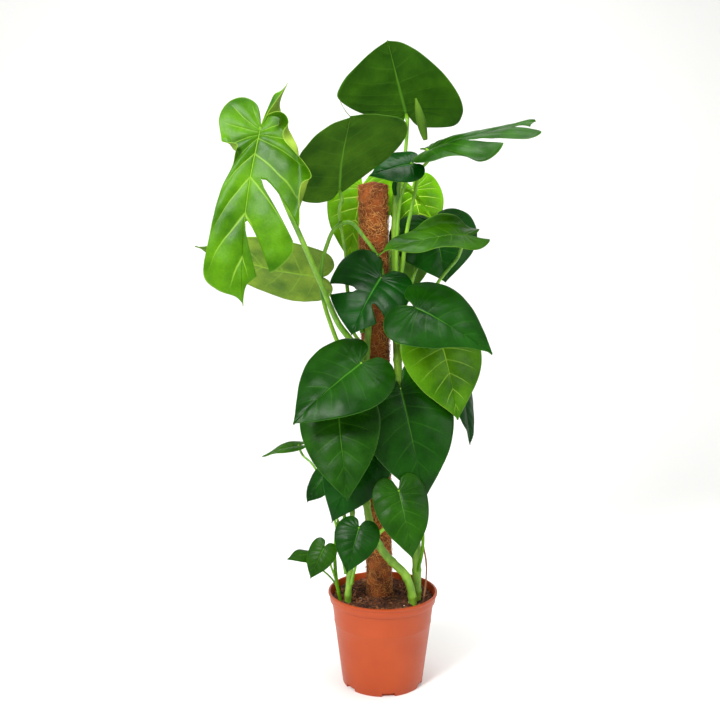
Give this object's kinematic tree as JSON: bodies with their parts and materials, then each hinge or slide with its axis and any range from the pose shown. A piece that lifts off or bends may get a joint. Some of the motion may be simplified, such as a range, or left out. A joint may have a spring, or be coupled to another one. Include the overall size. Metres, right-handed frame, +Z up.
{
  "type": "potted monstera plant",
  "caption": "Tall climbing houseplant with heart-shaped and split leaves on a coir pole, in a terracotta-coloured nursery pot.",
  "frame": {"origin": "centre of the flat underside of the pot, on the surface it stands on", "axes": "+Z up along the pole, +X towards the plant's right, +Y towards its back"},
  "size_m": [0.7175, 0.4951, 1.3644],
  "materials": {
    "pot_plastic": "satin moulded plastic",
    "potting_soil": "loose and crumbly",
    "coir_fibre": "rough fibre",
    "vine_bark": "smooth green stem with node rings",
    "root_skin": "dry and matte",
    "leaf_stalk": "smooth and waxy",
    "leaf_dark": "glossy waxy leaf",
    "leaf_bright": "glossy waxy leaf",
    "leaf_pale": "soft young leaf"
  },
  "bodies": {
    "root": {"pot": "pot_plastic", "soil": "potting_soil", "coir_pole": "coir_fibre", "vine_left": "vine_bark", "vine_right": "vine_bark", "vine_rear": "vine_bark", "vine_young": "vine_bark", "aerial_root_right": "root_skin", "young_leaf_rolled": "leaf_pale", "leaf_front_heart": "leaf_dark", "leaf_front_left_heart": "leaf_dark", "leaf_left_heart": "leaf_dark", "leaf_left_heart_lower": "leaf_dark", "leaf_left_small_rear": "leaf_dark", "leaf_left_tongue": "leaf_bright", "leaf_left_under": "leaf_bright", "leaf_low_left_heart": "leaf_bright", "leaf_low_left_small": "leaf_bright", "leaf_lower_rear": "leaf_dark", "leaf_middle_heart": "leaf_dark", "leaf_pale_rear_left": "leaf_pale", "leaf_pale_rear_right": "leaf_pale", "leaf_rear_high": "leaf_dark", "leaf_right_dark": "leaf_dark", "leaf_right_edge": "leaf_dark", "leaf_right_heart_bright": "leaf_bright", "leaf_right_heart_upper": "leaf_dark", "leaf_right_level": "leaf_bright", "leaf_split_centre": "leaf_dark", "leaf_split_left": "leaf_bright", "leaf_top": "leaf_dark", "leaf_top_right": "leaf_dark", "leaf_upper_left": "leaf_bright", "leaf_upper_middle": "leaf_dark", "stalk_front_heart": "leaf_stalk", "stalk_front_left_heart": "leaf_stalk", "stalk_left_heart": "leaf_stalk", "stalk_left_heart_lower": "leaf_stalk", "stalk_left_small_rear": "leaf_stalk", "stalk_left_tongue": "leaf_stalk", "stalk_left_under": "leaf_stalk", "stalk_low_left_heart": "leaf_stalk", "stalk_low_left_small": "leaf_stalk", "stalk_lower_rear": "leaf_stalk", "stalk_middle_heart": "leaf_stalk", "stalk_pale_rear_left": "leaf_stalk", "stalk_pale_rear_right": "leaf_stalk", "stalk_rear_high": "leaf_stalk", "stalk_right_dark": "leaf_stalk", "stalk_right_edge": "leaf_stalk", "stalk_right_heart_bright": "leaf_stalk", "stalk_right_heart_upper": "leaf_stalk", "stalk_right_level": "leaf_stalk", "stalk_split_centre": "leaf_stalk", "stalk_split_left": "leaf_stalk", "stalk_top": "leaf_stalk", "stalk_top_right": "leaf_stalk", "stalk_upper_left": "leaf_stalk", "stalk_upper_middle": "leaf_stalk"}
  },
  "joints": []
}
